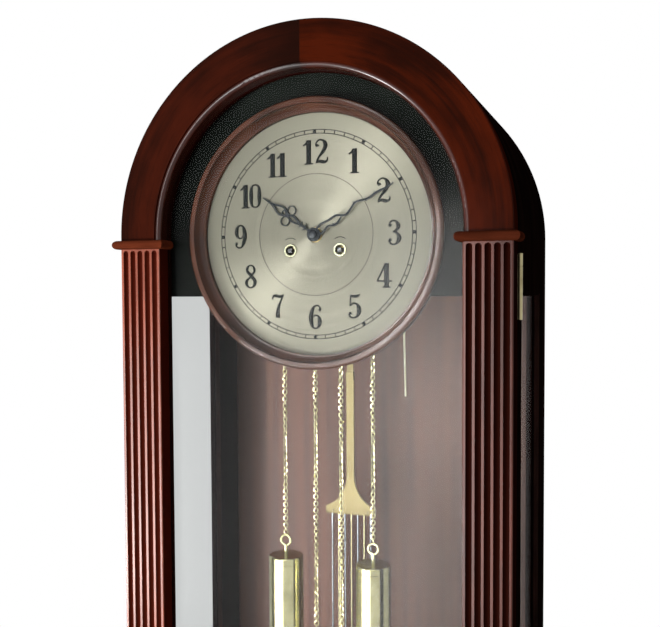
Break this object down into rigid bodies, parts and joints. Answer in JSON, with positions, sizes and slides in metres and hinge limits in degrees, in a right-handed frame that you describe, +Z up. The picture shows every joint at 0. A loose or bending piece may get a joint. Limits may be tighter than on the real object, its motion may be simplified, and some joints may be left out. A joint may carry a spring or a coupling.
{
  "type": "longcase clock",
  "caption": "Arched-top glazed longcase clock with fluted door frame, round brass-toned dial, weights on chains and a gridiron pendulum.",
  "frame": {"origin": "middle of the plinth's footprint on the floor", "axes": "+Z up, +X to the right seen from the front, +Y towards the wall behind; the door faces -Y"},
  "size_m": [0.5, 0.3276, 2.0195],
  "materials": {
    "mahogany": "satin red-brown lacquer over straight-grained mahogany",
    "back_panel": "satin lacquered veneer, a little darker than the door",
    "mask_board": "dark grey-green satin paint",
    "glass": "clear polished float glass",
    "dial_metal": "spun-brushed champagne metal with black printing",
    "brass": "polished and lacquered brass",
    "black_steel": "black lacquered steel",
    "steel": "bright turned steel"
  },
  "bodies": {
    "case": {"plinth": "mahogany", "base_moulding": "mahogany", "base_box": "mahogany", "base_panel": "mahogany", "case_side_left": "mahogany", "case_side_right": "mahogany", "side_glass": "glass", "case_head": "mahogany", "back_board": "back_panel", "seat_board": "mahogany", "dial_mask": "mask_board", "dial_ring_left": "mahogany", "dial_ring_right": "mahogany", "dial_disc": "dial_metal", "dial_eyelets": "brass", "hinge_case_leaves": "brass", "movement_frame": "brass", "gong": "steel", "chain_left_weight": "brass", "chain_left_free": "brass", "chain_right_weight": "brass", "chain_right_free": "brass"},
    "door": {"door_arch_left": "mahogany", "door_arch_right": "mahogany", "door_stile_left": "mahogany", "door_stile_right": "mahogany", "door_capitals": "mahogany", "door_foot_rail": "mahogany", "door_glass": "glass", "door_beads": "mahogany", "hinge_door_leaves": "brass", "lock_escutcheon": "brass"},
    "key": {"lock_key": "brass"},
    "minute": {"minute_hand": "black_steel", "centre_wheel": "brass"},
    "motion": {"minute_wheel": "brass"},
    "hour": {"hour_hand": "black_steel", "hour_wheel": "brass"},
    "slow": {"slow_wheel": "brass"},
    "great": {"great_wheel": "brass"},
    "third": {"third_wheel": "brass"},
    "escape": {"escape_wheel": "brass"},
    "anchor": {"anchor": "steel"},
    "pendulum": {"pendulum_leader": "brass", "pendulum_stick": "brass", "pendulum_rods": "brass", "pendulum_bob": "brass"},
    "nut": {"rating_nut": "brass"},
    "pins": {"pin_wheel": "brass"},
    "strike_great": {"strike_great_wheel": "brass"},
    "fly": {"fly": "brass"},
    "hammers": {"hammers": "brass"},
    "weight_right": {"weight_right": "brass"},
    "weight_left": {"weight_left": "brass"},
    "chain_end_right": {"chain_ring_right": "brass"},
    "chain_end_left": {"chain_ring_left": "brass"},
    "sprocket_right": {"sprocket_right": "brass"},
    "sprocket_left": {"sprocket_left": "brass"},
    "winder_right": {"winder_right": "steel"},
    "winder_left": {"winder_left": "steel"}
  },
  "joints": [
    {"name": "door_swing", "type": "hinge", "parent": "case", "child": "door", "pos_m": [0.2372, -0.1075, 1.06], "axis": [0, 0, 1], "range_deg": [0, 105]},
    {"name": "lock_turn", "type": "hinge", "parent": "door", "child": "key", "pos_m": [-0.208, -0.136, 1.085], "axis": [0, -1, 0], "range_deg": [0, 90]},
    {"name": "minute_turn", "type": "hinge", "parent": "case", "child": "minute", "pos_m": [0, -0.136, 1.785], "axis": [0, 1, 0], "continuous": true},
    {"name": "motion_turn", "type": "hinge", "parent": "case", "child": "motion", "pos_m": [0, -0.136, 1.803], "axis": [0, 1, 0], "continuous": true},
    {"name": "hour_turn", "type": "hinge", "parent": "case", "child": "hour", "pos_m": [0, -0.136, 1.785], "axis": [0, 1, 0], "continuous": true},
    {"name": "slow_turn", "type": "hinge", "parent": "case", "child": "slow", "pos_m": [0.01864, -0.136, 1.7733], "axis": [0, 1, 0], "continuous": true},
    {"name": "great_turn", "type": "hinge", "parent": "case", "child": "great", "pos_m": [0.0367, -0.136, 1.751], "axis": [0, 1, 0], "continuous": true},
    {"name": "third_turn", "type": "hinge", "parent": "case", "child": "third", "pos_m": [0.00872, -0.136, 1.803], "axis": [0, 1, 0], "continuous": true},
    {"name": "escape_turn", "type": "hinge", "parent": "case", "child": "escape", "pos_m": [0, -0.136, 1.821], "axis": [0, 1, 0], "continuous": true},
    {"name": "pendulum_swing", "type": "hinge", "parent": "case", "child": "pendulum", "pos_m": [0, 0.032, 1.847], "axis": [0, 1, 0], "range_deg": [-3, 3]},
    {"name": "anchor_swing", "type": "hinge", "parent": "case", "child": "anchor", "pos_m": [0, -0.136, 1.847], "axis": [0, 1, 0], "range_deg": [-3, 3]},
    {"name": "rating_turn", "type": "hinge", "parent": "pendulum", "child": "nut", "pos_m": [0, 0.032, 0.8782], "axis": [0, 0, 1], "continuous": true},
    {"name": "strike_turn", "type": "hinge", "parent": "case", "child": "pins", "pos_m": [-0.01864, -0.136, 1.7733], "axis": [0, 1, 0], "continuous": true},
    {"name": "strike_great_turn", "type": "hinge", "parent": "case", "child": "strike_great", "pos_m": [-0.0367, -0.136, 1.751], "axis": [0, 1, 0], "continuous": true},
    {"name": "fly_turn", "type": "hinge", "parent": "case", "child": "fly", "pos_m": [-0.02899, -0.136, 1.79123], "axis": [0, 1, 0], "continuous": true},
    {"name": "hammer_lift", "type": "hinge", "parent": "case", "child": "hammers", "pos_m": [0.034, 0.06, 1.815], "axis": [1, 0, 0], "range_deg": [0, 12], "stiffness_Nm_per_rad": 0.03, "springref_deg": -17.19},
    {"name": "weight_right_drop", "type": "slide", "parent": "case", "child": "weight_right", "axis": [0, 0, -1], "range_m": [-0.2, 0.75], "deforming": ["chain_right_weight"]},
    {"name": "weight_left_drop", "type": "slide", "parent": "case", "child": "weight_left", "axis": [0, 0, -1], "range_m": [-0.2, 0.75], "deforming": ["chain_left_weight"]},
    {"name": "chain_end_right_rise", "type": "slide", "parent": "case", "child": "chain_end_right", "axis": [0, 0, 1], "range_m": [-0.2, 0.75], "deforming": ["chain_right_free"]},
    {"name": "chain_end_left_rise", "type": "slide", "parent": "case", "child": "chain_end_left", "axis": [0, 0, 1], "range_m": [-0.2, 0.75], "deforming": ["chain_left_free"]},
    {"name": "sprocket_right_turn", "type": "hinge", "parent": "case", "child": "sprocket_right", "pos_m": [0.0367, -0.136, 1.751], "axis": [0, 1, 0], "range_deg": [-567.4, 2127.4]},
    {"name": "sprocket_left_turn", "type": "hinge", "parent": "case", "child": "sprocket_left", "pos_m": [-0.0367, -0.136, 1.751], "axis": [0, 1, 0], "range_deg": [-2127.4, 567.4]},
    {"name": "winding_right_turn", "type": "hinge", "parent": "case", "child": "winder_right", "pos_m": [0.0308, -0.136, 1.767], "axis": [0, 1, 0], "range_deg": [-6382.1, 1702]},
    {"name": "winding_left_turn", "type": "hinge", "parent": "case", "child": "winder_left", "pos_m": [-0.0308, -0.136, 1.767], "axis": [0, 1, 0], "range_deg": [-1702, 6382.1]}
  ],
  "couplings": [
    {"joint": "motion_turn", "follows": "minute_turn", "ratio": -0.33333},
    {"joint": "hour_turn", "follows": "minute_turn", "ratio": 0.083333},
    {"joint": "slow_turn", "follows": "minute_turn", "ratio": -0.2},
    {"joint": "great_turn", "follows": "minute_turn", "ratio": 0.033333},
    {"joint": "third_turn", "follows": "minute_turn", "ratio": -8},
    {"joint": "escape_turn", "follows": "minute_turn", "ratio": 60},
    {"joint": "anchor_swing", "follows": "pendulum_swing", "ratio": 1},
    {"joint": "strike_great_turn", "follows": "strike_turn", "ratio": -0.16667},
    {"joint": "fly_turn", "follows": "strike_turn", "ratio": -6.6667},
    {"joint": "chain_end_right_rise", "follows": "weight_right_drop", "ratio": 1},
    {"joint": "chain_end_left_rise", "follows": "weight_left_drop", "ratio": 1},
    {"joint": "sprocket_right_turn", "follows": "weight_right_drop", "rad_per_m": 49.505},
    {"joint": "sprocket_left_turn", "follows": "weight_left_drop", "rad_per_m": -49.505},
    {"joint": "winding_right_turn", "follows": "weight_right_drop", "rad_per_m": -148.51},
    {"joint": "winding_left_turn", "follows": "weight_left_drop", "rad_per_m": 148.51}
  ]
}
